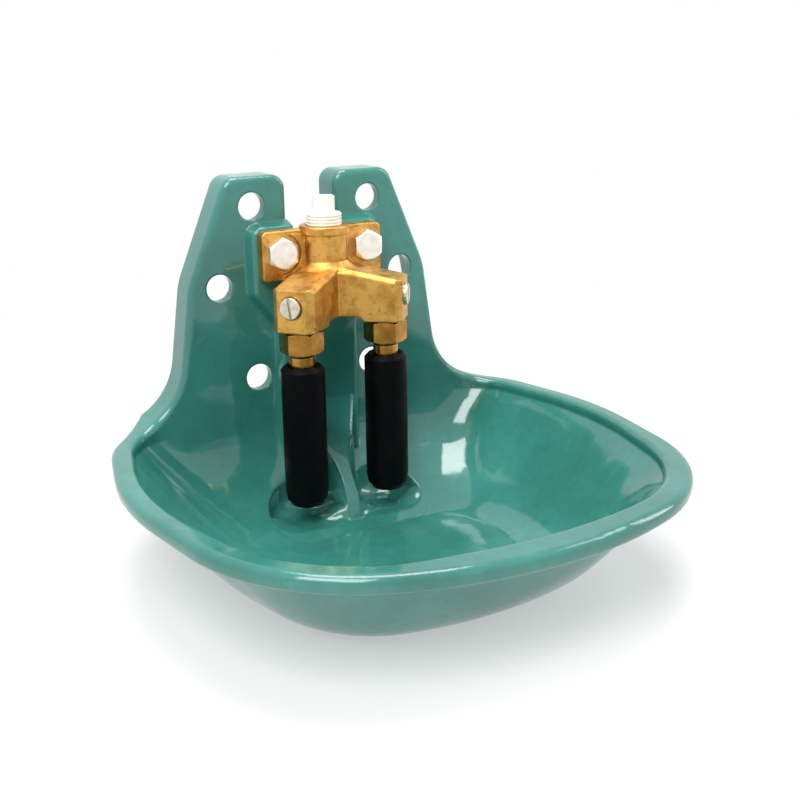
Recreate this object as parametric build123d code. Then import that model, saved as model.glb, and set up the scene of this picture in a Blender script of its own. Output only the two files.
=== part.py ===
from build123d import *
import os
from math import radians, sqrt, tan

# Livestock drinking bowl with two tilting valve tubes, for wall or post mounting.
# Millimetres.  Y = 0 is the wall, -Y points at the animal, X = 0 is the plane of symmetry and
# Z = 0 is the height of the middle pair of mounting holes.

# ---- back plate and its ears ----
PLATE_DEPTH = 24.0          # wall to front face of the plate
PLATE_WALL = 6.5            # thickness of the front sheet
FLANGE_WALL = 4.5           # thickness of the turned-back edge
EAR_TOP = 62.0              # height of both ears
EAR_CORNER = 9.0            # radius of the outer top corner of an ear
EAR_TOP_HALF = 51.9         # half width where ear top and taper meet
SHOULDER_HALF = 77.1        # half width where taper and flank meet
SHOULDER_Z = 1.7
SHOULDER_RADIUS = 40.0
FLANK_FOOT_HALF = 89.0      # half width of the flanks if they ran down to the rim
SWEEP_RADIUS = 41.0         # flank sweeping out into the rim
NOTCH_HALF = 15.5           # gap between the ears
NOTCH_CENTRE_Z = 33.0       # centre of the round bottom of the gap
NOTCH_FLARE = 8.0           # radius of the inner top corner of an ear
TURNED_EDGE = 0.6           # chamfer on turned and moulded edges
BEYOND = 300.0              # size of a cutting box that reaches past the whole part
EDGE_ROUND = 3.5            # rounded front edge of ears and inner edge of the rim

# ---- mounting holes ----
HOLE_D = 16.0
HOLES = ((37.4, 45.1), (59.2, 0.0), (37.6, -56.1))   # x (both sides), z

# ---- rim and dish ----
RIM_Z = -79.0               # top face of the rim
RIM_THICK = 9.0
RIM_ROUND = 4.0             # outer top edge
RIM_UNDER_ROUND = 3.0
RIM_HALF = 133.8            # inner half width of the rim
RIM_FRONT = 230.0           # plate front to inner front edge of the rim
RIM_BAND_SIDE = 14.0        # width of the rim's top at the sides
SWEEP_INSIDE = 17.8         # the flank's sweep ends at least this far inside the rim's widest point
RIM_BAND_FRONT = 18.2       # width of the rim's top at the front
RIM_END_HALF = 104.0        # half width of the rim where it meets the wall
RIM_LIP = 6.0               # upright inner edge of the rim above the dish wall
DISH_DEPTH = 62.0           # rim top to floor
DISH_WALL = 5.0
FLOOR_HALF = 62.0           # flat of the floor
FLOOR_BACK = 60.0           # plate front to back edge of the flat
FLOOR_FRONT = 160.0
SIDE_POWER = 0.8            # fullness of the dish wall over its depth
SIDE_ROOT = 2.2
BACK_POWER = 2.5            # how the back of the dish runs down into the floor

# ---- raised pad for the valve and the column below it ----
BOSS_RISE = 8.0
BOSS_HALF = 43.0
BOSS_TOP = 36.0
BOSS_SHOULDER_Z = -6.0      # where the pad starts to narrow
COLUMN_HALF = 27.0
COLUMN_TOP_Z = -26.0        # where the pad has narrowed to the column
COLUMN_FOOT_Z = -112.0      # the column dies out in the back of the dish
BOSS_CORNER = 9.0
BOSS_DRAFT = 18.0           # degrees
BOSS_EDGE = 2.5

# ---- pockets behind the tubes and the rib between them ----
POCKET_R = 23.0
POCKET_FLOOR_Z = -138.0
POCKET_ROUND = 9.0
RIB_LEVELS = (-50.0, -80.0, -96.0, -112.0, -128.0, -144.0)      # heights of the rib's sections
RIB_REACH = (6.0, 11.0, 23.0, 37.0, 47.0, 53.0)                 # how far its nose stands off the plate
RIB_NOSE_HALF = (23.0, 20.0, 13.0, 7.0, 6.0, 6.0)
RIB_SPREAD = 4.0                                                # foot wider than the nose, each side
RIB_NOSE_ROUND = 4.5

# ---- valve body ----
TUBE_X = 26.9               # half the spacing of the two tubes
TUBE_REACH = 39.3           # plate front to tube axis
INLET_REACH = 17.0          # plate front to inlet axis
NECK_D = 26.0
COLLAR_D = 29.0
COLLAR_TOP = 34.0
COLLAR_HIGH = 5.0
COLLAR_ROUND = 0.8
INLET_BORE_D = 21.2         # G 1/2 female thread
INLET_BORE_DEEP = 26.0
FLANGE_HALF = 38.0
FLANGE_BOTTOM = 3.0
FLANGE_TOP = 32.0
FLANGE_THICK = 7.0
FLANGE_CORNER = 3.0
FLANGE_EDGE_ROUND = 1.0
ARM_WIDTH = 25.0
ARM_UNDER = -17.2           # underside at the middle of the arch
ARM_UNDER_ROUND = 3.0
ARM_TOP_NECK = 10.0         # height of the arm's back at the neck and at its end
ARM_TOP_END = 4.0
ARM_ROUND = 3.0
ARM_END = 12.0              # tube axis to the end face of the arm
LEG_BOTTOM = -20.0
ROOM_Z = 24.0               # above this the gap between the ears has room for the neck
LEG_BACK = 10.0             # tube axis to the inner side of the leg
LEG_CHAMFER = 4.0
WEB_HALF = 26.0             # block that ties the neck to the flange
WEB_THICK = 9.5
WEB_TOP = 30.0
SPOT_FACE_D = 24.0          # clearance round the bolt heads
INLET_LOW_D = 14.0          # narrower bore below the inlet thread
INLET_FLOOR_Z = -10.0
CHAMBER_D = 18.0
CHAMBER_TOP = -13.0
WELL_D = 12.0               # room for the spring above the chamber
WELL_TOP = -10.0
LINK_D = 6.0
PASSAGE_D = 7.0
PASSAGE_Z = -5.5

# ---- valve bolts, washers and nuts (M10) ----
BOLT_X = 27.2
BOLT_Z = 19.4
BOLT_D = 10.0
BOLT_AF = 17.0
BOLT_HEAD = 6.4
BOLT_LENGTH = 35.0
BOLT_HOLE_D = 11.0
NUT_THICK = 8.0
NUT_BORE_D = 10.1
WASHER_D = 18.0
WASHER_BORE_D = 10.5
WASHER_THICK = 1.6

# ---- inlet plug ----
PLUG_THREAD_D = 20.6
PLUG_THREAD_IN = 12.0       # length inside the collar
PLUG_THREAD_OUT = 7.0       # length left above the collar
PLUG_HEAD_D = 13.0
PLUG_HEAD_HIGH = 9.5
PLUG_BORE_D = 8.0
PLUG_PITCH = 1.8
PLUG_THREAD_DEEP = 0.9

# ---- union nuts, seats, springs and tubes ----
UNION_AF = 22.0
UNION_BOTTOM = -34.0
UNION_FOOT_D = 19.0
UNION_FOOT_HIGH = 0.7
UNION_SEAL_D = 21.0
UNION_SEAL_THICK = 0.8
UNION_SEAL_BORE_D = 18.1
SPIGOT_D = 17.9
SPIGOT_HIGH = 6.5
UNION_BORE_D = 16.0
UNION_MOUTH_D = 12.0
UNION_LEDGE_Z = -31.0
PIVOT_Z = -23.0             # centre of the ball head of each tube
BALL_D = 15.0
BALL_TOP = 2.0              # flat of the ball head above its centre
SEAT_D = 15.9
SEAT_BORE_D = 11.0
SEAT_GAP = 0.3
PIPE_D = 8.6
PIPE_BORE_D = 5.0
COLLAR_GAP = 0.9            # union nut to the shoulder of the tube
NECK_TUBE_D = 14.6
TUBE_BORE_D = 9.0
TUBE_END_Z = -118.0
SLEEVE_D = 25.3
SLEEVE_BORE_D = 14.7
SLEEVE_TOP_Z = -41.0
SLEEVE_END_Z = -125.0
PLATE_D = 10.0
PLATE_THICK = 1.0
PLATE_GAP = 0.5             # free play of the spring plate above and below
PLATE_PIP_D = 4.0
PLATE_PIP_HIGH = 2.0
SPRING_D = 9.6              # mean diameter of the coil
SPRING_WIRE = 1.0
SPRING_PITCH = 2.2
SPRING_GAP = 0.5            # spring to the plate below it
SPRING_ROOF_GAP = 0.3

# ---- flow regulating screws ----
SCREW_HEAD_D = 12.4
SCREW_HEAD_THICK = 3.0
SCREW_HEAD_SUNK = 1.0
SCREW_HEAD_ROUND = 0.8
SCREW_RECESS_D = 13.2
SCREW_THREAD_D = 9.9
SCREW_BORE_D = 10.0
SCREW_BORE_DEEP = 9.4
SCREW_SEAT_GAP = 0.1
SCREW_THREAD_LONG = 8.0
SCREW_TIP_D = 6.0
SCREW_TIP_LONG = 9.0
SCREW_SLOT = 1.5
SCREW_SLOT_DEEP = 1.6
SCREW_SLOT_TURN = 8.0       # degrees off upright
RING_SECTION = 1.5
RING_GROOVE_D = 6.8
RING_GROOVE_WIDE = 1.9
RING_MEAN_D = 8.4
RING_AT = 3.0               # head seat to the middle of the groove

FRONT = -PLATE_DEPTH                    # front face of the plate
BOSS_FACE = FRONT - BOSS_RISE
BACK_OF_SHEET = FRONT + PLATE_WALL
RIM_UNDER = RIM_Z - RIM_THICK


def save(name, shape):
    """Write one node."""
    os.makedirs("parts", exist_ok=True)
    export_step(shape, f"parts/{name}.step")


def xz_face(sketch, y):
    """Stand a sketch drawn in XY up in the XZ plane at depth y (its normal points to -Y)."""
    return Plane(origin=(0, y, 0), x_dir=(1, 0, 0), z_dir=(0, -1, 0)) * sketch


# ------------------------------------------------------------------ casting
def plate_outline(inset=0.0):
    """Front view of the plate: ears, flanks and the sweep out into the rim."""
    wide = RIM_END_HALF + 40
    pts = [(-EAR_TOP_HALF, EAR_TOP), (EAR_TOP_HALF, EAR_TOP), (SHOULDER_HALF, SHOULDER_Z),
           (FLANK_FOOT_HALF, RIM_Z), (wide, RIM_Z), (wide, RIM_UNDER), (-wide, RIM_UNDER),
           (-wide, RIM_Z), (-FLANK_FOOT_HALF, RIM_Z), (-SHOULDER_HALF, SHOULDER_Z)]
    face = make_face(Polyline(*pts, close=True))
    sweep = min(SWEEP_RADIUS, RIM_HALF + RIM_BAND_SIDE - SWEEP_INSIDE - FLANK_FOOT_HALF)
    radii = {0: EAR_CORNER, 1: EAR_CORNER, 2: SHOULDER_RADIUS, 9: SHOULDER_RADIUS,
             3: sweep, 8: sweep}
    for i, r in radii.items():
        corner = face.vertices().sort_by_distance((pts[i][0], pts[i][1], 0))[0]
        face = fillet(corner, r)
    notch = Pos(0, (NOTCH_CENTRE_Z + EAR_TOP) / 2 + 20) * Rectangle(
        2 * NOTCH_HALF, EAR_TOP - NOTCH_CENTRE_Z + 40)
    notch += Pos(0, NOTCH_CENTRE_Z) * Circle(NOTCH_HALF)
    face = face - notch
    for s in (-1, 1):
        corner = face.vertices().sort_by_distance((s * NOTCH_HALF, EAR_TOP, 0))[0]
        face = fillet(corner, NOTCH_FLARE)
    if inset:
        face = offset(face, -inset)
    return face


def mirrored(points):
    """Complete a right-hand list of corners with its mirror image about X = 0."""
    return points + [(-x, y) for x, y in reversed(points) if x > 0]


def corner_radius(before, corner, after, share):
    """Radius whose arc takes up a share of the shorter of the two sides at a corner."""
    a = Vector(*before) - Vector(*corner)
    b = Vector(*after) - Vector(*corner)
    half_turn = radians(180 - a.get_angle(b)) / 2
    return share * min(a.length, b.length) / tan(half_turn)


def rounded_face(right, shares, z=0.0):
    """Polygon symmetric about X = 0 with every corner rounded by its share of the sides."""
    pts = mirrored(right)
    parts = mirrored([(x, s) for (x, y), s in zip(right, shares)])
    face = make_face(Polyline(*pts, close=True))
    for i, (x, share) in enumerate(parts):
        if share:
            r = corner_radius(pts[i - 1], pts[i], pts[(i + 1) % len(pts)], share)
            face = fillet(face.vertices().sort_by_distance((*pts[i], 0))[0], r)
    return Pos(0, 0, z) * face


def dish_face(half, back, front, z):
    """D-shaped section: straight back, bulging sides and a rounded front."""
    deep = back - front
    right = [(0.876 * half, back), (1.055 * half, back - 0.399 * deep),
             (0.8325 * half, back - 0.9165 * deep), (0, back - 1.0313 * deep)]
    return rounded_face(right, (0.27, 0.5, 0.45, 0.53), z)


def dish_section(s, grow=0.0):
    """Section of the dish at fraction s of its depth, grown outwards by a wall."""
    fill = (1 - s ** SIDE_POWER) ** (1 / SIDE_ROOT) if s < 1 else 0.0
    z = RIM_Z - RIM_LIP - (DISH_DEPTH - RIM_LIP + grow) * s
    half = FLOOR_HALF + (RIM_HALF - FLOOR_HALF) * fill + grow
    back = FRONT - FLOOR_BACK * s ** BACK_POWER + grow
    front = FRONT - FLOOR_FRONT - (RIM_FRONT - FLOOR_FRONT) * fill - grow
    return dish_face(half, back, front, z)


def dish_solid(grow=0.0):
    """Loft the dish through its sections."""
    steps = (0.0, 0.12, 0.3, 0.5, 0.7, 0.85, 0.95, 1.0)
    return loft([dish_section(s, grow) for s in steps])


def rim_face(z):
    """Outer edge of the rim in plan, closed along the wall."""
    half = RIM_HALF + RIM_BAND_SIDE
    front = FRONT - RIM_FRONT - RIM_BAND_FRONT
    right = [(RIM_END_HALF, 0), (0.907 * half, 0.136 * front), (1.0217 * half, 0.404 * front),
             (0.88 * half, 0.885 * front), (0, 1.04 * front)]
    return rounded_face(right, (0, 0.3, 0.48, 0.47, 0.5), z)


def opening_prism():
    """Everything above the dish and in front of the plate."""
    top = dish_section(0.0)
    return extrude(top, EAR_TOP - RIM_Z + RIM_LIP + 20, dir=(0, 0, 1))


def hollow_back():
    """Open pan behind the front sheet, inside the turned-back edge."""
    deep = PLATE_DEPTH - PLATE_WALL
    slab = extrude(xz_face(plate_outline(FLANGE_WALL), 1), 1 + deep, dir=(0, -1, 0))
    half = RIM_END_HALF - FLANGE_WALL
    height = EAR_TOP - RIM_Z
    limit = Pos(0, -PLATE_DEPTH / 2, RIM_Z + height / 2) * Box(2 * half, PLATE_DEPTH + 4, height)
    return slab & limit


def boss():
    """Raised pad behind the valve, narrowing to the column between the low holes."""
    foot = COLUMN_FOOT_Z
    pts = [(-BOSS_HALF, BOSS_TOP), (BOSS_HALF, BOSS_TOP), (BOSS_HALF, BOSS_SHOULDER_Z),
           (COLUMN_HALF, COLUMN_TOP_Z), (COLUMN_HALF, foot), (-COLUMN_HALF, foot),
           (-COLUMN_HALF, COLUMN_TOP_Z), (-BOSS_HALF, BOSS_SHOULDER_Z)]
    radii = (BOSS_CORNER, BOSS_CORNER, 12, 14, 0, 0, 14, 12)
    face = make_face(Polyline(*pts, close=True))
    for (x, y), r in zip(pts, radii):
        if r:
            face = fillet(face.vertices().sort_by_distance((x, y, 0))[0], r)
    raised = extrude(xz_face(face, FRONT + 0.5), BOSS_RISE + 0.5, dir=(0, -1, 0), taper=BOSS_DRAFT)
    edges = [e for e in raised.edges() if (e @ 0.5).Y < BOSS_FACE + 0.01 and (e @ 0.5).Z > foot + 4]
    return fillet(edges, BOSS_EDGE)


def rib_section(level, reach, nose_half):
    """Plan section of the divider rib: a wedge with a rounded nose."""
    back = FRONT + 1
    nose = FRONT - reach
    foot = nose_half + RIB_SPREAD
    pts = [(-foot, back), (foot, back), (nose_half, nose), (-nose_half, nose)]
    face = make_face(Polyline(*[(x, y, level) for x, y in pts], close=True))
    tips = [v for v in face.vertices() if v.Y < nose + 0.01]
    return fillet(tips, RIB_NOSE_ROUND)


def divider_rib():
    """Rib that runs on from the column and divides the two tube pockets."""
    rib = loft([rib_section(*v) for v in zip(RIB_LEVELS, RIB_REACH, RIB_NOSE_HALF)])
    for s in (-1, 1):
        rib = rib - pocket(s)
    return rib


def pocket(side, grow=0.0):
    """Round pocket in the back of the dish around one tube."""
    top = RIM_Z
    floor = POCKET_FLOOR_Z - grow
    centre = (side * TUBE_X, FRONT - TUBE_REACH, (top + floor) / 2)
    can = Pos(*centre) * Cylinder(POCKET_R + grow, top - floor)
    rim = can.edges().filter_by(GeomType.CIRCLE).sort_by(Axis.Z)[0]
    return fillet(rim, POCKET_ROUND + grow)


def through_holes():
    """Mounting holes and the two valve bolt holes."""
    cutters = []
    for s in (-1, 1):
        for x, z in HOLES:
            cutters.append(y_cylinder(s * x, z, HOLE_D, 5, -2 * PLATE_DEPTH))
        cutters.append(y_cylinder(s * BOLT_X, BOLT_Z, BOLT_HOLE_D, 5, -2 * PLATE_DEPTH))
    return cutters


def on_surface(edge, tool):
    """True where the middle of an edge lies on the skin of a tool already cut away."""
    return tool.distance_to(Vertex(*(edge @ 0.5))) < 0.01


def along_rim(edge, rim_edge):
    """True where an edge runs along the outer outline of the rim."""
    middle = edge @ 0.5
    return rim_edge.distance_to(Vertex(middle.X, middle.Y, 0)) < 0.01


def y_cylinder(x, z, d, y_from, y_to):
    """Cylinder along Y between two depths."""
    middle = (y_from + y_to) / 2
    return Pos(x, middle, z) * Rot(90, 0, 0) * Cylinder(d / 2, abs(y_from - y_to))


def z_cylinder(x, y, d, z_from, z_to):
    """Cylinder along Z between two heights."""
    return Pos(x, y, (z_from + z_to) / 2) * Cylinder(d / 2, abs(z_from - z_to))


def bowl_casting():
    plan = extrude(rim_face(RIM_UNDER), EAR_TOP - RIM_UNDER + 10, dir=(0, 0, 1))
    ears = extrude(xz_face(plate_outline(), 0), 60, dir=(0, -1, 0))
    rim = extrude(rim_face(RIM_UNDER), RIM_THICK, dir=(0, 0, 1))
    opening = opening_prism()
    body = (ears & plan) + rim - opening
    inner = [e for e in body.edges() if (e @ 0.5).Z > RIM_Z - 0.01 and on_surface(e, opening)]
    body = fillet(inner, EDGE_ROUND)
    rim_edge = rim_face(0).face().outer_wire()
    top = [e for e in body.edges() if (e @ 0.5).Z > RIM_Z - 0.01 and along_rim(e, rim_edge)]
    body = fillet(top, RIM_ROUND)
    low = [e for e in body.edges() if (e @ 0.5).Z < RIM_UNDER + 0.01 and along_rim(e, rim_edge)]
    body = fillet(low, RIM_UNDER_ROUND)
    body = body + dish_solid(DISH_WALL)
    for s in (-1, 1):
        shell = pocket(s, DISH_WALL) & Pos(0, FRONT + DISH_WALL - BEYOND / 2, RIM_UNDER - BEYOND / 2) * Box(
            BEYOND, BEYOND, BEYOND)
        body = body + shell
    body = body - dish_solid()
    solid_boss = boss() + divider_rib()
    body = body + (solid_boss & below_floor_limit())
    for s in (-1, 1):
        body = body - pocket(s)
    notch = notch_cutter()
    body = body - notch - hollow_back()
    for hole in through_holes():
        body = body - hole
    return body


def below_floor_limit():
    """Keeps the column and rib inside the outside of the dish."""
    return dish_solid(DISH_WALL - 1) + Pos(0, FRONT - 60, (BOSS_TOP + RIM_Z - RIM_LIP) / 2) * Box(
        200, 130, BOSS_TOP - RIM_Z + RIM_LIP + 0.01 + 10)


def notch_cutter():
    """Gap between the ears, carried through the pad."""
    gap = Circle(NOTCH_HALF) + Pos(0, 40) * Rectangle(2 * NOTCH_HALF, 80)
    return extrude(xz_face(Pos(0, NOTCH_CENTRE_Z) * gap, 1), 60, dir=(0, -1, 0))


# ---- valve body ----

def inlet_y():
    return FRONT - INLET_REACH


def tube_y():
    return FRONT - TUBE_REACH


def arm_direction(side):
    return Vector(side * TUBE_X, INLET_REACH - TUBE_REACH, 0).normalized()


def arm_length():
    """Inlet axis to the end face of an arm."""
    return sqrt(TUBE_X ** 2 + (TUBE_REACH - INLET_REACH) ** 2) + ARM_END


def arm_plane(side):
    """Plan plane of one arm: its x runs from the inlet axis out to the tube."""
    return Plane(origin=(0, inlet_y(), 0), x_dir=arm_direction(side), z_dir=(0, 0, 1))


def screw_plane(side):
    """Plane on the end face of an arm, looking out along the arm."""
    origin = Vector(0, inlet_y(), PASSAGE_Z) + arm_direction(side) * arm_length()
    return Plane(origin=origin, x_dir=(0, 0, 1), z_dir=arm_direction(side))


def end_chamfered(start, end):
    """Plan outline of an arm with its two outer corners cut off."""
    half = ARM_WIDTH / 2
    inner = end - LEG_CHAMFER
    near = half - LEG_CHAMFER
    pts = [(start, -half), (inner, -half), (end, -near), (end, near), (inner, half), (start, half)]
    return make_face(Polyline(*pts, close=True))


def arm(side):
    end = arm_length()
    bar = extrude(end_chamfered(0, end), ARM_TOP_NECK - LEG_BOTTOM, dir=(0, 0, 1))
    bar = Pos(0, 0, LEG_BOTTOM) * bar
    shoulder = NECK_D / 2 + 3
    leg = end - ARM_END - LEG_BACK
    side_view = make_face(Polyline(
        (-1, ARM_UNDER), (leg - 1.5, ARM_UNDER), (leg, LEG_BOTTOM), (end + 1, LEG_BOTTOM),
        (end + 1, ARM_TOP_END), (shoulder, ARM_TOP_NECK), (-1, ARM_TOP_NECK), close=True))
    arch = side_view.vertices().sort_by_distance((leg - 1.5, ARM_UNDER, 0))[0]
    side_view = fillet(arch, ARM_UNDER_ROUND)
    profile = Plane.XZ.offset(-ARM_WIDTH) * side_view
    bar = bar & extrude(profile, 2 * ARM_WIDTH, dir=(0, -1, 0))
    back = [e for e in bar.edges() if (e @ 0.5).Z > 0 and abs(abs((e @ 0.5).Y) - ARM_WIDTH / 2) < 0.01]
    return arm_plane(side) * fillet(back, ARM_ROUND)


def flange():
    """Plate behind the neck and the block that ties the two together."""
    high = FLANGE_TOP - FLANGE_BOTTOM
    middle = FLANGE_BOTTOM + high / 2
    plate = Pos(0, BOSS_FACE - FLANGE_THICK / 2, middle) * Box(2 * FLANGE_HALF, FLANGE_THICK, high)
    plate = fillet(plate.edges().filter_by(Axis.Y), FLANGE_CORNER)
    plate = fillet(plate.faces().sort_by(Axis.Y)[0].edges(), FLANGE_EDGE_ROUND)
    web_high = WEB_TOP - FLANGE_BOTTOM
    web = Pos(0, BOSS_FACE - WEB_THICK / 2, FLANGE_BOTTOM + web_high / 2) * Box(
        2 * WEB_HALF, WEB_THICK, web_high)
    for s in (-1, 1):
        web = web - y_cylinder(s * BOLT_X, BOLT_Z, SPOT_FACE_D, BOSS_FACE - FLANGE_THICK, BOSS_FACE - 30)
    return plate + web


def inlet_neck():
    x, y = 0, inlet_y()
    neck = z_cylinder(x, y, NECK_D, ARM_UNDER, COLLAR_TOP - COLLAR_HIGH)
    collar = z_cylinder(x, y, COLLAR_D, COLLAR_TOP - COLLAR_HIGH, COLLAR_TOP)
    return neck + fillet(collar.edges().filter_by(GeomType.CIRCLE), COLLAR_ROUND)


def waterways():
    """Bores of the inlet, the two passages, the chambers and the screw seats."""
    y = inlet_y()
    cutters = [z_cylinder(0, y, INLET_BORE_D, COLLAR_TOP - INLET_BORE_DEEP, COLLAR_TOP + 1)]
    cutters.append(z_cylinder(0, y, INLET_LOW_D, INLET_FLOOR_Z, COLLAR_TOP - INLET_BORE_DEEP + 1))
    for s in (-1, 1):
        x = s * TUBE_X
        cutters.append(z_cylinder(x, tube_y(), CHAMBER_D, LEG_BOTTOM - 1, CHAMBER_TOP))
        cutters.append(z_cylinder(x, tube_y(), WELL_D, CHAMBER_TOP - 1, WELL_TOP))
        cutters.append(z_cylinder(x, tube_y(), LINK_D, WELL_TOP - 1, PASSAGE_Z))
        for d, top, bottom in ((SCREW_RECESS_D, 1, -SCREW_HEAD_SUNK), (SCREW_BORE_D, 0, -SCREW_BORE_DEEP),
                               (PASSAGE_D, -SCREW_BORE_DEEP + 1, -arm_length())):
            cutters.append(screw_plane(s) * z_cylinder(0, 0, d, bottom, top))
        cutters.append(y_cylinder(s * BOLT_X, BOLT_Z, BOLT_HOLE_D, 0, BOSS_FACE - 30))
    return cutters


def valve_body():
    body = arm(-1) + arm(1) + inlet_neck() + flange()
    high = ROOM_Z - LEG_BOTTOM + 2
    behind = Pos(0, BOSS_FACE + BEYOND / 2, LEG_BOTTOM - 2 + high / 2) * Box(BEYOND, BEYOND, high)
    body = body - behind
    for cutter in waterways():
        body = body - cutter
    return body


# ---- bolts, washers and nuts ----

def hexagon(af, high, chamfer_top=0.9, chamfer_bottom=0.9):
    """Hexagonal prism standing on z = 0, its corners chamfered, two corners on the y axis."""
    prism = extrude(Rot(0, 0, 30) * RegularPolygon(af / 2, 6, major_radius=False), high, dir=(0, 0, 1))
    turned = z_cylinder(0, 0, af * 1.155, 0, high)
    rings = turned.edges().filter_by(GeomType.CIRCLE).sort_by(Axis.Z)
    if chamfer_top:
        turned = chamfer(rings[-1], chamfer_top, chamfer_top * 1.9)
    if chamfer_bottom:
        rings = turned.edges().filter_by(GeomType.CIRCLE).sort_by(Axis.Z)
        turned = chamfer(rings[0], chamfer_bottom, chamfer_bottom * 1.9)
    return prism & turned


def at_bolt(side, y):
    """Place on a bolt axis with z pointing at the animal."""
    return Plane(origin=(side * BOLT_X, y, BOLT_Z), x_dir=(1, 0, 0), z_dir=(0, -1, 0))


def bolt(side):
    seat = BOSS_FACE - FLANGE_THICK
    shank = z_cylinder(0, 0, BOLT_D, -BOLT_LENGTH, 0)
    shank = chamfer(shank.edges().filter_by(GeomType.CIRCLE).sort_by(Axis.Z)[0], 1.0)
    return at_bolt(side, seat) * (hexagon(BOLT_AF, BOLT_HEAD, 1.1, 0) + shank)


def bolt_washer(side):
    ring = z_cylinder(0, 0, WASHER_D, -WASHER_THICK, 0) - z_cylinder(0, 0, WASHER_BORE_D, -WASHER_THICK, 0)
    return at_bolt(side, BACK_OF_SHEET) * ring


def bolt_nut(side):
    nut = hexagon(BOLT_AF, NUT_THICK) - z_cylinder(0, 0, NUT_BORE_D, -1, NUT_THICK + 1)
    return at_bolt(side, BACK_OF_SHEET + WASHER_THICK + NUT_THICK) * nut


# ---- inlet plug ----

def turned(points):
    """Solid of revolution about z from (radius, height) corners."""
    profile = Plane.XZ * make_face(Polyline(*points, close=True))
    return revolve(profile, Axis.Z)


def inlet_plug():
    low = COLLAR_TOP - PLUG_THREAD_IN
    shoulder = COLLAR_TOP + PLUG_THREAD_OUT
    top = shoulder + PLUG_HEAD_HIGH
    crest = PLUG_THREAD_D / 2
    root = crest - PLUG_THREAD_DEEP
    points = [(PLUG_BORE_D / 2, low), (root - 1, low), (root, low + 1)]
    z = low + 1
    while z + PLUG_PITCH < shoulder:
        points += [(crest, z + 0.25 * PLUG_PITCH), (crest, z + 0.65 * PLUG_PITCH), (root, z + 0.9 * PLUG_PITCH)]
        z += PLUG_PITCH
        points.append((root, z))
    head = PLUG_HEAD_D / 2
    points += [(root, shoulder), (head, shoulder), (head, top - TURNED_EDGE), (head - TURNED_EDGE, top)]
    points += [(PLUG_BORE_D / 2, top), (PLUG_BORE_D / 2, top - 3), (0, top - 3), (0, shoulder - 2),
               (PLUG_BORE_D / 2, shoulder - 2)]
    return Pos(0, inlet_y(), 0) * turned(points)


# ---- parts of one valve ----

def at_tube(side):
    return Pos(side * TUBE_X, tube_y(), 0)


def union_nut(side):
    top = LEG_BOTTOM - UNION_SEAL_THICK
    foot = UNION_BOTTOM + UNION_FOOT_HIGH
    nut = Pos(0, 0, foot) * hexagon(UNION_AF, top - foot)
    nut = nut + z_cylinder(0, 0, UNION_FOOT_D, UNION_BOTTOM, foot)
    nut = nut + z_cylinder(0, 0, SPIGOT_D, top, LEG_BOTTOM + SPIGOT_HIGH)
    nut = nut - z_cylinder(0, 0, UNION_BORE_D, UNION_LEDGE_Z, LEG_BOTTOM + SPIGOT_HIGH)
    return at_tube(side) * (nut - z_cylinder(0, 0, UNION_MOUTH_D, UNION_BOTTOM, UNION_LEDGE_Z))


def union_seal(side):
    low = LEG_BOTTOM - UNION_SEAL_THICK
    ring = z_cylinder(0, 0, UNION_SEAL_D, low, LEG_BOTTOM)
    return at_tube(side) * (ring - z_cylinder(0, 0, UNION_SEAL_BORE_D, low, LEG_BOTTOM))


def seat_top():
    """Height at which the seat's bore clears the ball by the seat gap."""
    reach = BALL_D / 2 + SEAT_GAP
    return PIVOT_Z - sqrt(reach ** 2 - (SEAT_BORE_D / 2) ** 2)


def seat_washer(side):
    ring = z_cylinder(0, 0, SEAT_D, UNION_LEDGE_Z, seat_top())
    return at_tube(side) * (ring - z_cylinder(0, 0, SEAT_BORE_D, UNION_LEDGE_Z, seat_top()))


def tube_stem(side):
    """Ball head, pipe and long tube, bored through."""
    shoulder = UNION_BOTTOM - COLLAR_GAP
    edge = TURNED_EDGE
    half = NECK_TUBE_D / 2
    stem = turned([(0, PIVOT_Z), (PIPE_D / 2, PIVOT_Z), (PIPE_D / 2, shoulder), (half - edge, shoulder),
                   (half, shoulder - edge), (half, TUBE_END_Z + edge), (half - edge, TUBE_END_Z),
                   (0, TUBE_END_Z)])
    ball = Pos(0, 0, PIVOT_Z) * Sphere(BALL_D / 2)
    ball = ball & z_cylinder(0, 0, BALL_D + 1, PIVOT_Z - BALL_D, PIVOT_Z + BALL_TOP)
    stem = stem + ball - z_cylinder(0, 0, PIPE_BORE_D, TUBE_END_Z, 0)
    return at_tube(side) * (stem - z_cylinder(0, 0, TUBE_BORE_D, TUBE_END_Z, shoulder - 5))


def tube_sleeve(side):
    bore = SLEEVE_BORE_D / 2
    out = SLEEVE_D / 2
    mouth = TUBE_BORE_D / 2
    stop = TUBE_END_Z - 0.3
    points = [(bore, SLEEVE_TOP_Z - 1.4), (bore + 1.4, SLEEVE_TOP_Z), (out - 2.2, SLEEVE_TOP_Z),
              (out, SLEEVE_TOP_Z - 2.4), (out, SLEEVE_END_Z + 9), (out - 0.9, SLEEVE_END_Z + 3.6),
              (out - 3.6, SLEEVE_END_Z), (mouth, SLEEVE_END_Z), (mouth, stop), (bore, stop)]
    return at_tube(side) * turned(points)


def flat_top():
    return PIVOT_Z + BALL_TOP


def spring_plate(side):
    low = flat_top() + PLATE_GAP
    plate = z_cylinder(0, 0, PLATE_D, low, low + PLATE_THICK)
    pip = z_cylinder(0, 0, PLATE_PIP_D, low + PLATE_THICK, low + PLATE_THICK + PLATE_PIP_HIGH)
    return at_tube(side) * (plate + pip)


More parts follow.
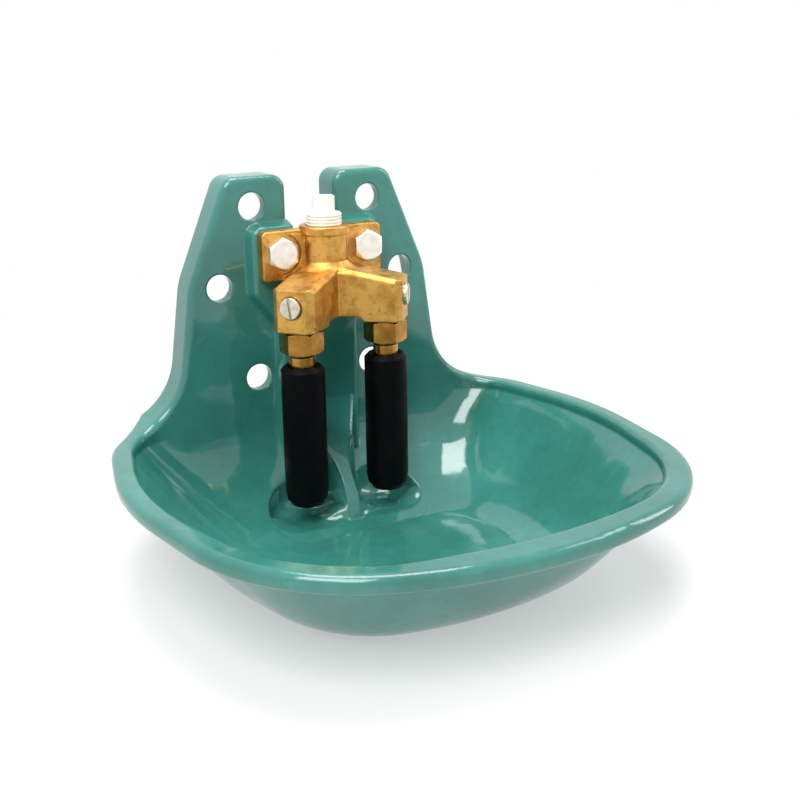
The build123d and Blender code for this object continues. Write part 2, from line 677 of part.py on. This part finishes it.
def return_spring(side):
    low = flat_top() + PLATE_GAP + PLATE_THICK + SPRING_GAP + SPRING_WIRE / 2
    high = WELL_TOP - SPRING_ROOF_GAP - SPRING_WIRE / 2 - low
    path = Pos(0, 0, low) * Helix(pitch=SPRING_PITCH, height=high, radius=SPRING_D / 2)
    wire = Plane(origin=path @ 0, z_dir=path % 0) * Circle(SPRING_WIRE / 2)
    return at_tube(side) * sweep(wire, path=path)


# ---- flow regulating screws ----

def regulator_screw(side):
    """Slotted screw whose tip throttles the passage."""
    seat = -SCREW_HEAD_SUNK + SCREW_SEAT_GAP
    head = z_cylinder(0, 0, SCREW_HEAD_D, seat, seat + SCREW_HEAD_THICK)
    head = fillet(head.edges().filter_by(GeomType.CIRCLE).sort_by(Axis.Z)[-1], SCREW_HEAD_ROUND)
    slot = Pos(0, 0, seat + SCREW_HEAD_THICK) * Rot(0, 0, SCREW_SLOT_TURN) * Box(
        SCREW_HEAD_D + 1, SCREW_SLOT, 2 * SCREW_SLOT_DEEP)
    thread_end = seat - SCREW_THREAD_LONG
    tip_end = thread_end - SCREW_TIP_LONG
    tip = SCREW_TIP_D / 2
    shank = SCREW_THREAD_D / 2
    groove = RING_GROOVE_D / 2
    ring_top = seat - RING_AT + RING_GROOVE_WIDE / 2
    ring_low = ring_top - RING_GROOVE_WIDE
    points = [(0, seat + 0.5), (shank, seat + 0.5), (shank, ring_top), (groove, ring_top), (groove, ring_low),
              (shank, ring_low), (shank, thread_end), (tip, thread_end), (tip, tip_end + 3), (1, tip_end),
              (0, tip_end)]
    return screw_plane(side) * (head - slot + turned(points))


def regulator_o_ring(side):
    middle = -SCREW_HEAD_SUNK + SCREW_SEAT_GAP - RING_AT
    return screw_plane(side) * Pos(0, 0, middle) * Torus(RING_MEAN_D / 2, RING_SECTION / 2)


save("bowl_casting", bowl_casting())
save("valve_body", valve_body())
save("inlet_plug", inlet_plug())
for name, piece in (("valve_bolts", bolt), ("bolt_washers", bolt_washer), ("bolt_nuts", bolt_nut)):
    save(name, Compound([piece(-1), piece(1)]))
for name, side in (("left", -1), ("right", 1)):
    for piece in (union_nut, union_seal, seat_washer, return_spring, spring_plate, tube_stem, tube_sleeve,
                  regulator_screw, regulator_o_ring):
        save(piece.__name__ + "_" + name, piece(side))
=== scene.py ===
import math

import bpy
from mathutils import Matrix, Vector


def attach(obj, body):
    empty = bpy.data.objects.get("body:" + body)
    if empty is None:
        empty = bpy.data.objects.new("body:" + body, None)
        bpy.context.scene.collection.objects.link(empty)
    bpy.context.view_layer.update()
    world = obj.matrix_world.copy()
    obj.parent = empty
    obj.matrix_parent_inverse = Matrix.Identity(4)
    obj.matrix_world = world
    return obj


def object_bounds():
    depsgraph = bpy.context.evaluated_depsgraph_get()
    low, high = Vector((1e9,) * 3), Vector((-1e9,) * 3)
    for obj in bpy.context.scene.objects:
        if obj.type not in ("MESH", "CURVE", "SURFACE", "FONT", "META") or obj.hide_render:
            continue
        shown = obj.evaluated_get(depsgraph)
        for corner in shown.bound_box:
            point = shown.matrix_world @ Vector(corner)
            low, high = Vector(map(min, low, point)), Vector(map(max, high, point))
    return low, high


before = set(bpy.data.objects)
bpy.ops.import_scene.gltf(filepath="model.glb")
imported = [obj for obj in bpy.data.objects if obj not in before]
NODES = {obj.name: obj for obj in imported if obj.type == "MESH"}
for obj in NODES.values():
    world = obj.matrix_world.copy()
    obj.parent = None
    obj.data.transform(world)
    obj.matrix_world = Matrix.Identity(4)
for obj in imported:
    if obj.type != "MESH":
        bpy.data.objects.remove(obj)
CAD_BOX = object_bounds()
SIDES = ("left", "right")

# ---- camera: metres, degrees and an 800 by 800 image ----
CAMERA_PLACE = Vector((-0.28668, -0.64014, 0.13562))
CAMERA_TURN = -29.244
CAMERA_DOWN = 17.452
CAMERA_ROLL = -0.714
FOCAL_PIXELS = 1150.0
IMAGE_PIXELS = 800.0
SENSOR_MM = 36.0

# ---- floor, metres ----
FLOOR_GAP = 0.0002          # below the lowest point of the bowl
FLOOR_RADIUS = 8.0
FLOOR_CORNERS = 96
FADE_START = 0.16           # the floor turns into the white surround between these radii
FADE_END = 0.75
FLOOR_GLOW = 0.45           # share of the white surround in the floor beside the object
BOWL_MIDDLE_Y = -0.12

# ---- surround and lights: place and size in metres, power in watts ----
MIRRORED_LEVEL = 1.00       # how bright the surround is in mirror reflections
FILL_LEVEL = 0.46           # how much light the surround throws on the object
LIGHT_AIM = (0, BOWL_MIDDLE_Y, -0.06)
LIGHTS = (
    ("key_softbox", (-0.9, -0.9, 1.3), (0.95, 0.95), 26),
    ("side_strip", (1.2, -0.5, 0.7), (0.3, 1.2), 7),
    ("top_softbox", (0.1, 0.1, 1.6), (1.0, 0.7), 21),
)

# ---- runout of the two pockets under the tubes, metres ----
TUBE_X = 0.0269             # half the spacing of the tubes
TUBE_Y = -0.0633            # their distance from the wall
POCKET_RADIUS = 0.023
RUNOUT_START = 0.004        # where the pocket's floor starts to rise, from the tube's axis
RUNOUT_LAP = 0.0012         # the skin laps over the pocket's edge by this much
RUNOUT_SKIN = 0.00012       # and stands this far off the casting
RUNOUT_HALF_TURN = 2.7      # radians each side of straight forward
RUNOUT_CLIMB = 0.008        # the most that the slope rises
RUNOUT_RINGS = 36           # faces from the tube's axis outwards, and round it
RUNOUT_SPOKES = 96
ABOVE_BOWL = -0.08          # height from which the casting is felt for

# ---- cast fillet at the foot of the inlet neck, metres ----
NECK_Y = -0.041             # the inlet's distance from the wall
NECK_RADIUS = 0.013
FILLET_RADIUS = 0.007
FILLET_SKIN = 0.0001        # the fillet's edges are sunk into the brass by this much
FILLET_RINGS = 12           # faces from the neck outwards, and round it
FILLET_SPOKES = 180
UNDER_COLLAR = 0.0285       # height from which the valve body is felt for
FILLET_LOWEST = 0.004       # below this there is no arm to stand on
FILLET_STEEPEST = FILLET_RADIUS / 2     # a taller face would span a gap


def linear(hex_colour):
    """sRGB hex to linear RGBA."""
    channels = [int(hex_colour[i:i + 2], 16) / 255 for i in (1, 3, 5)]
    return [c / 12.92 if c <= 0.04045 else ((c + 0.055) / 1.055) ** 2.4 for c in channels] + [1.0]


def per_metre(size_mm):
    """Texture scale at which one feature measures size_mm."""
    return 1000.0 / size_mm


def add_node(tree, kind, values=None, links=None, **settings):
    """Adds a node, sets its settings and input values, and links its inputs."""
    node = tree.nodes.new(kind)
    for name, value in settings.items():
        setattr(node, name, value)
    for name, value in (values or {}).items():
        node.inputs[name].default_value = value
    for name, source in (links or {}).items():
        tree.links.new(source, node.inputs[name])
    return node


def new_material(name, **values):
    """Material with a Principled shader whose constant sockets are set, its tree and its place vector."""
    material = bpy.data.materials.new(name)
    material.use_nodes = True
    tree = material.node_tree
    tree.nodes.clear()
    shader = add_node(tree, "ShaderNodeBsdfPrincipled", values)
    add_node(tree, "ShaderNodeOutputMaterial", links={"Surface": shader.outputs["BSDF"]})
    place = add_node(tree, "ShaderNodeTexCoord").outputs["Object"]
    return material, tree, shader, place


def clouds(tree, place, size_mm, detail=3.0, roughness=0.5, stretch=None):
    """Noise whose blotches measure size_mm; stretch scales the place vector first."""
    if stretch:
        place = add_node(tree, "ShaderNodeMapping", {"Scale": stretch}, {"Vector": place}).outputs["Vector"]
    values = {"Scale": per_metre(size_mm), "Detail": detail, "Roughness": roughness}
    return add_node(tree, "ShaderNodeTexNoise", values, {"Vector": place}).outputs["Fac"]


def between(tree, factor, low, high, to_low, to_high):
    """Factor from low..high mapped to to_low..to_high, clamped."""
    values = {"From Min": low, "From Max": high, "To Min": to_low, "To Max": to_high}
    return add_node(tree, "ShaderNodeMapRange", values, {"Value": factor}).outputs["Result"]


def colour_mix(tree, factor, first, second, blend="MIX"):
    """Mix of two colours, each a hex string or a socket."""
    node = add_node(tree, "ShaderNodeMix", links={0: factor}, data_type="RGBA", blend_type=blend)
    for socket, colour in ((6, first), (7, second)):
        if isinstance(colour, str):
            node.inputs[socket].default_value = linear(colour)
        else:
            tree.links.new(colour, node.inputs[socket])
    return node.outputs[2]


def bump(tree, height, depth_mm, under=None):
    """Bump of a height from 0 to 1 that stands depth_mm tall."""
    links = {"Height": height}
    if under:
        links["Normal"] = under
    values = {"Distance": depth_mm / 1000, "Strength": 1.0}
    return add_node(tree, "ShaderNodeBump", values, links).outputs["Normal"]


def worn_edge(tree, radius_mm):
    """Normal that rounds the edges by radius_mm."""
    return add_node(tree, "ShaderNodeBevel", {"Radius": radius_mm / 1000}, samples=6).outputs["Normal"]


# ---- finishes ----

def vitreous_enamel():
    """Vitreous enamel fired on cast iron: glassy, with a slow swell from the rough casting under it."""
    mat, tree, shader, place = new_material("teal_vitreous_enamel", **{"IOR": 1.6})
    pool = between(tree, clouds(tree, place, 55, 4.0), 0.35, 0.65, 0.0, 1.0)
    body = colour_mix(tree, pool, "#2e7267", "#3c857a")
    mottle = between(tree, clouds(tree, place, 7, 5.0, 0.6), 0.42, 0.72, 0.0, 0.35)
    body = colour_mix(tree, mottle, body, "#276258")
    speck = between(tree, clouds(tree, place, 1.1, 1.0), 0.74, 0.80, 0.0, 0.7)
    body = colour_mix(tree, speck, body, "#1c4a42")
    tree.links.new(body, shader.inputs["Base Color"])
    gloss = between(tree, clouds(tree, place, 18, 3.0), 0.3, 0.7, 0.04, 0.10)
    tree.links.new(gloss, shader.inputs["Roughness"])
    swell = bump(tree, clouds(tree, place, 26, 1.0), 0.35, worn_edge(tree, 2.2))
    peel = bump(tree, clouds(tree, place, 5, 2.0), 0.035, swell)
    tree.links.new(peel, shader.inputs["Normal"])
    return mat


def cast_brass():
    """Sand-cast brass, tumbled: golden, satin, grainy, with brown oxide left in patches."""
    mat, tree, shader, place = new_material("tumbled_cast_brass", **{"Metallic": 1.0})
    patch = between(tree, clouds(tree, place, 9, 5.0, 0.62), 0.46, 0.70, 0.0, 1.0)
    body = colour_mix(tree, patch, "#d3a355", "#ad7b39")
    stain = between(tree, clouds(tree, place, 3.2, 4.0, 0.7), 0.56, 0.74, 0.0, 0.85)
    body = colour_mix(tree, stain, body, "#7a5022")
    tree.links.new(body, shader.inputs["Base Color"])
    satin = between(tree, clouds(tree, place, 6, 4.0), 0.3, 0.7, 0.34, 0.50)
    tree.links.new(satin, shader.inputs["Roughness"])
    lumps = bump(tree, clouds(tree, place, 5, 3.0), 0.10, worn_edge(tree, 1.3))
    sand = bump(tree, clouds(tree, place, 0.9, 2.0), 0.035, lumps)
    tree.links.new(sand, shader.inputs["Normal"])
    return mat


def turned_brass():
    """Machined brass: darker gold, fine tool rings, a little tarnish."""
    mat, tree, shader, place = new_material("turned_brass", **{"Metallic": 1.0})
    tarnish = between(tree, clouds(tree, place, 11, 3.0, 0.5), 0.40, 0.75, 0.0, 1.0)
    body = colour_mix(tree, tarnish, "#c08c42", "#946329")
    tree.links.new(body, shader.inputs["Base Color"])
    satin = between(tree, clouds(tree, place, 4, 3.0), 0.3, 0.7, 0.18, 0.30)
    tree.links.new(satin, shader.inputs["Roughness"])
    rings = clouds(tree, place, 0.6, 1.0, 0.5, (0.02, 0.02, 1.0))
    tree.links.new(bump(tree, rings, 0.012, worn_edge(tree, 0.5)), shader.inputs["Normal"])
    return mat


def zinc_plate():
    """Bright zinc plate on steel: silvery, with a faint warm and cool passivation and fine scuffs."""
    mat, tree, shader, place = new_material("bright_zinc_plate", **{"Metallic": 1.0})
    tint = between(tree, clouds(tree, place, 5, 3.0), 0.35, 0.65, 0.0, 1.0)
    body = colour_mix(tree, tint, "#fbf5e9", "#e8e4da")
    tree.links.new(body, shader.inputs["Base Color"])
    scuff = clouds(tree, place, 0.7, 3.0, 0.6)
    satin = between(tree, scuff, 0.35, 0.7, 0.28, 0.42)
    tree.links.new(satin, shader.inputs["Roughness"])
    tree.links.new(bump(tree, scuff, 0.015, worn_edge(tree, 0.5)), shader.inputs["Normal"])
    return mat


def nickel_plate():
    """Satin nickel plate on brass screws: pale and warm, brushed one way by the slot's milling."""
    mat, tree, shader, place = new_material("satin_nickel_plate", **{"Metallic": 1.0})
    tint = between(tree, clouds(tree, place, 3, 3.0), 0.35, 0.65, 0.0, 1.0)
    body = colour_mix(tree, tint, "#ded7c5", "#c2baa6")
    tree.links.new(body, shader.inputs["Base Color"])
    brush = clouds(tree, place, 0.5, 2.0, 0.5, (1.0, 1.0, 0.08))
    satin = between(tree, brush, 0.3, 0.7, 0.26, 0.38)
    tree.links.new(satin, shader.inputs["Roughness"])
    tree.links.new(bump(tree, brush, 0.012, worn_edge(tree, 0.4)), shader.inputs["Normal"])
    return mat


def spring_steel():
    """Drawn spring wire: bright grey with fine drawing lines."""
    mat, tree, shader, place = new_material("drawn_spring_steel", **{"Metallic": 1.0})
    tint = between(tree, clouds(tree, place, 1.5, 3.0), 0.35, 0.65, 0.0, 1.0)
    tree.links.new(colour_mix(tree, tint, "#b9b9b8", "#96979a"), shader.inputs["Base Color"])
    lines = clouds(tree, place, 0.4, 2.0)
    tree.links.new(between(tree, lines, 0.3, 0.7, 0.22, 0.36), shader.inputs["Roughness"])
    return mat


def moulded_rubber(name, dark, worn, grain_mm, gloss):
    """Moulded rubber: near black, fine grain from the mould, greyed where it has been handled."""
    mat, tree, shader, place = new_material(name, **{"IOR": 1.5, "Specular IOR Level": 0.08})
    bloom = between(tree, clouds(tree, place, 16, 5.0, 0.62), 0.48, 0.74, 0.0, 1.0)
    tree.links.new(colour_mix(tree, bloom, dark, worn), shader.inputs["Base Color"])
    grain = clouds(tree, place, grain_mm, 2.0)
    satin = between(tree, clouds(tree, place, 5, 4.0), 0.3, 0.7, gloss - 0.06, gloss + 0.08)
    tree.links.new(satin, shader.inputs["Roughness"])
    tree.links.new(bump(tree, grain, 0.03, worn_edge(tree, 0.8)), shader.inputs["Normal"])
    return mat


def ivory_polyethylene():
    """Injection-moulded polyethylene: milky, slightly see-through, waxy, with faint flow marks."""
    values = {"IOR": 1.51, "Subsurface Weight": 0.35, "Subsurface Scale": 0.004}
    mat, tree, shader, place = new_material("ivory_polyethylene", **values)
    flow = between(tree, clouds(tree, place, 8, 3.0, 0.5, (1.0, 1.0, 0.3)), 0.35, 0.65, 0.0, 1.0)
    tree.links.new(colour_mix(tree, flow, "#fbf9f2", "#f3eee0"), shader.inputs["Base Color"])
    waxy = between(tree, clouds(tree, place, 3, 3.0), 0.3, 0.7, 0.34, 0.46)
    tree.links.new(waxy, shader.inputs["Roughness"])
    tree.links.new(bump(tree, clouds(tree, place, 1.2, 2.0), 0.02, worn_edge(tree, 0.3)),
                   shader.inputs["Normal"])
    return mat


def vulcanised_fibre():
    """Vulcanised fibre sealing ring: red-brown, pressed, with a fibrous edge."""
    mat, tree, shader, place = new_material("vulcanised_fibre", **{"IOR": 1.5})
    fibres = clouds(tree, place, 1.0, 4.0, 0.6, (1.0, 1.0, 5.0))
    tone = between(tree, fibres, 0.35, 0.65, 0.0, 1.0)
    tree.links.new(colour_mix(tree, tone, "#6b2f22", "#4a1d16"), shader.inputs["Base Color"])
    tree.links.new(between(tree, fibres, 0.3, 0.7, 0.6, 0.75), shader.inputs["Roughness"])
    tree.links.new(bump(tree, fibres, 0.02), shader.inputs["Normal"])
    return mat


def both(name):
    """The two nodes of a piece that each valve has."""
    return [f"{name}_{side}" for side in SIDES]


def dress_nodes():
    """Gives every CAD node its finish."""
    enamel = vitreous_enamel()
    brass = cast_brass()
    finishes = (
        (enamel, ["bowl_casting"]),
        (brass, ["valve_body"]),
        (turned_brass(), both("union_nut") + both("tube_stem") + both("spring_plate")),
        (zinc_plate(), ["valve_bolts", "bolt_washers", "bolt_nuts"]),
        (nickel_plate(), both("regulator_screw")),
        (spring_steel(), both("return_spring")),
        (moulded_rubber("black_sleeve_rubber", "#040405", "#0a0a0b", 0.7, 0.46), both("tube_sleeve")),
        (moulded_rubber("seal_rubber", "#141414", "#1f1f20", 0.5, 0.55),
         both("seat_washer") + both("regulator_o_ring")),
        (vulcanised_fibre(), both("union_seal")),
        (ivory_polyethylene(), ["inlet_plug"]),
    )
    for material, names in finishes:
        for name in names:
            mesh = NODES[name].data
            mesh.materials.clear()
            mesh.materials.append(material)
    neck_fillet(brass)
    for side, name in ((-1, "left"), (1, "right")):
        pocket_runout(side, f"pocket_runout_{name}", enamel)


# ---- runout of the pockets ----

def casting_height(x, y):
    """Height of the casting's upper face at a place in the bowl."""
    casting = NODES["bowl_casting"]
    to_local = casting.matrix_world.inverted()
    start = to_local @ Vector((x, y, ABOVE_BOWL))
    hit, place, _, _ = casting.ray_cast(start, Vector((0, 0, -1)))
    return (casting.matrix_world @ place).z if hit else CAD_BOX[0][2]


def smooth(share):
    """Smoothstep from 0 to 1."""
    share = min(max(share, 0.0), 1.0)
    return share * share * (3 - 2 * share)


def runout_point(side, turn, radius):
    """Point of the enamelled slope that runs from the pocket's floor out to the dish's floor."""
    across = side * math.sin(turn) * radius
    forward = -math.cos(turn) * radius
    x, y = side * TUBE_X + across, TUBE_Y + forward
    edge = (POCKET_RADIUS + RUNOUT_LAP) / radius
    rim = casting_height(side * TUBE_X + across * edge, TUBE_Y + forward * edge)
    floor = casting_height(side * TUBE_X, TUBE_Y)
    rise = smooth((radius - RUNOUT_START) / (POCKET_RADIUS - RUNOUT_START))
    fade = smooth(2.0 * (1 - abs(turn) / RUNOUT_HALF_TURN))
    height = floor + min(rim - floor, RUNOUT_CLIMB) * rise * fade
    return x, y, max(height, casting_height(x, y) - 2 * RUNOUT_SKIN) + RUNOUT_SKIN


def skin(name, points, faces, material):
    """Smooth thin skin that lies on the casting or the valve body."""
    mesh = bpy.data.meshes.new(name)
    mesh.from_pydata(points, [], faces)
    mesh.shade_smooth()
    mesh.materials.append(material)
    piece = bpy.data.objects.new(name, mesh)
    bpy.context.scene.collection.objects.link(piece)
    return piece


def pocket_runout(side, name, enamel):
    """Slope that opens the front of a pocket towards the animal."""
    points = []
    for spoke in range(RUNOUT_SPOKES + 1):
        turn = RUNOUT_HALF_TURN * (2 * spoke / RUNOUT_SPOKES - 1)
        for ring in range(RUNOUT_RINGS + 1):
            radius = RUNOUT_START + (POCKET_RADIUS + RUNOUT_LAP - RUNOUT_START) * ring / RUNOUT_RINGS
            points.append(runout_point(side, turn, radius))
    row = RUNOUT_RINGS + 1
    faces = []
    for spoke in range(RUNOUT_SPOKES):
        for ring in range(RUNOUT_RINGS):
            first = spoke * row + ring
            corners = (first, first + row, first + row + 1, first + 1)
            faces.append(corners if side > 0 else corners[::-1])
    slope = skin(name, points, faces, enamel)
    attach(slope, "bowl")


# ---- cast fillet at the foot of the inlet neck ----

def valve_height(x, y):
    """Height of the valve body's upper face under the collar, or None where it falls away."""
    valve = NODES["valve_body"]
    start = valve.matrix_world.inverted() @ Vector((x, y, UNDER_COLLAR))
    hit, place, _, _ = valve.ray_cast(start, Vector((0, 0, -1)))
    height = (valve.matrix_world @ place).z if hit else 0.0
    return height if height > FILLET_LOWEST else None


def fillet_point(spoke, ring):
    """Point of the neck's fillet, or None where there is no arm under it."""
    turn = 2 * math.pi * spoke / FILLET_SPOKES
    share = ring / FILLET_RINGS
    radius = NECK_RADIUS - FILLET_SKIN + FILLET_RADIUS * share
    x, y = math.cos(turn) * radius, NECK_Y + math.sin(turn) * radius
    foot = valve_height(x, y)
    if foot is None:
        return None
    rise = FILLET_RADIUS * (1 - math.sqrt(max(0.0, 1 - (1 - share) ** 2)))
    return x, y, foot + rise - FILLET_SKIN


def neck_fillet(brass):
    """Concave cast fillet that joins the neck to the backs of the arms."""
    row = FILLET_RINGS + 1
    grid = [fillet_point(spoke, ring) for spoke in range(FILLET_SPOKES) for ring in range(row)]
    places = [i for i, point in enumerate(grid) if point]
    number = {place: n for n, place in enumerate(places)}
    faces = []
    for spoke in range(FILLET_SPOKES):
        for ring in range(FILLET_RINGS):
            first = spoke * row + ring
            second = (spoke + 1) % FILLET_SPOKES * row + ring
            corners = (first, first + 1, second + 1, second)
            if not all(c in number for c in corners):
                continue
            heights = [grid[c][2] for c in corners]
            if max(heights) - min(heights) < FILLET_STEEPEST:
                faces.append([number[c] for c in corners])
    fillet = skin("neck_fillet", [grid[place] for place in places], faces, brass)
    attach(fillet, "bowl")


# ---- stage, lights and camera ----

def white_world():
    """White surround for what is seen and mirrored, softer light for the rest."""
    world = bpy.data.worlds.new("white_surround")
    bpy.context.scene.world = world
    world.use_nodes = True
    tree = world.node_tree
    tree.nodes.clear()
    path = add_node(tree, "ShaderNodeLightPath")
    seen = add_node(tree, "ShaderNodeMath", links={0: path.outputs["Is Camera Ray"],
                    1: path.outputs["Is Transmission Ray"]}, operation="MAXIMUM")
    mirrored = add_node(tree, "ShaderNodeMath", {1: MIRRORED_LEVEL}, {0: path.outputs["Is Glossy Ray"]},
                        operation="MULTIPLY")
    level = add_node(tree, "ShaderNodeMath", links={0: seen.outputs[0], 1: mirrored.outputs[0]},
                     operation="MAXIMUM")
    level = add_node(tree, "ShaderNodeMath", {1: FILL_LEVEL}, {0: level.outputs[0]}, operation="MAXIMUM")
    light = add_node(tree, "ShaderNodeBackground", {"Color": (1, 1, 1, 1)}, {"Strength": level.outputs[0]})
    add_node(tree, "ShaderNodeOutputWorld", links={"Surface": light.outputs["Background"]})


def floor_material():
    """Matt white paper that fades into the white surround away from the object."""
    material = bpy.data.materials.new("matt_white_paper")
    material.use_nodes = True
    tree = material.node_tree
    tree.nodes.clear()
    place = add_node(tree, "ShaderNodeTexCoord").outputs["Object"]
    distance = add_node(tree, "ShaderNodeVectorMath", links={0: place}, operation="LENGTH").outputs["Value"]
    values = {"From Min": FADE_START, "From Max": FADE_END, "To Min": FLOOR_GLOW}
    fade = add_node(tree, "ShaderNodeMapRange", values, {"Value": distance},
                    interpolation_type="SMOOTHSTEP").outputs["Result"]
    paper = add_node(tree, "ShaderNodeBsdfDiffuse", {"Color": linear("#f3f3f2")})
    glow = add_node(tree, "ShaderNodeEmission", {"Color": (1, 1, 1, 1), "Strength": 1.0})
    mix = add_node(tree, "ShaderNodeMixShader", links={0: fade, 1: paper.outputs[0], 2: glow.outputs[0]})
    add_node(tree, "ShaderNodeOutputMaterial", links={"Surface": mix.outputs[0]})
    return material


def build_floor():
    """Pale floor under the bowl, which takes its shadow."""
    bpy.ops.mesh.primitive_circle_add(vertices=FLOOR_CORNERS, radius=FLOOR_RADIUS, fill_type="NGON",
                                      location=(0, BOWL_MIDDLE_Y, CAD_BOX[0][2] - FLOOR_GAP))
    floor = bpy.context.object
    floor.name = "floor"
    floor.data.materials.append(floor_material())


def area_light(name, place, size, power):
    """Soft box at a place, turned to the bowl."""
    light = bpy.data.lights.new(name, "AREA")
    light.shape = "RECTANGLE"
    light.size, light.size_y = size
    light.energy = power
    lamp = bpy.data.objects.new(name, light)
    lamp.location = place
    lamp.rotation_euler = (Vector(LIGHT_AIM) - Vector(place)).to_track_quat("-Z", "Y").to_euler()
    bpy.context.scene.collection.objects.link(lamp)


def build_camera():
    """Camera at the viewing angle that shows both tubes and the left flank."""
    turn = math.radians(CAMERA_TURN)
    down = math.radians(CAMERA_DOWN)
    roll = math.radians(CAMERA_ROLL)
    back = Vector((math.sin(turn) * math.cos(down), -math.cos(turn) * math.cos(down), math.sin(down)))
    level = Vector((math.cos(turn), math.sin(turn), 0))
    upright = back.cross(level)
    right = level * math.cos(roll) + upright * math.sin(roll)
    up = upright * math.cos(roll) - level * math.sin(roll)
    data = bpy.data.cameras.new("camera")
    data.sensor_width = SENSOR_MM
    data.lens = FOCAL_PIXELS * SENSOR_MM / IMAGE_PIXELS
    data.clip_start = 0.01
    camera = bpy.data.objects.new("camera", data)
    axes = Matrix((right, up, back)).transposed()
    camera.matrix_world = Matrix.Translation(CAMERA_PLACE) @ axes.to_4x4()
    bpy.context.scene.collection.objects.link(camera)
    bpy.context.scene.camera = camera


bpy.context.scene.view_settings.view_transform = "Standard"
dress_nodes()
white_world()
build_floor()
for light in LIGHTS:
    area_light(*light)
build_camera()
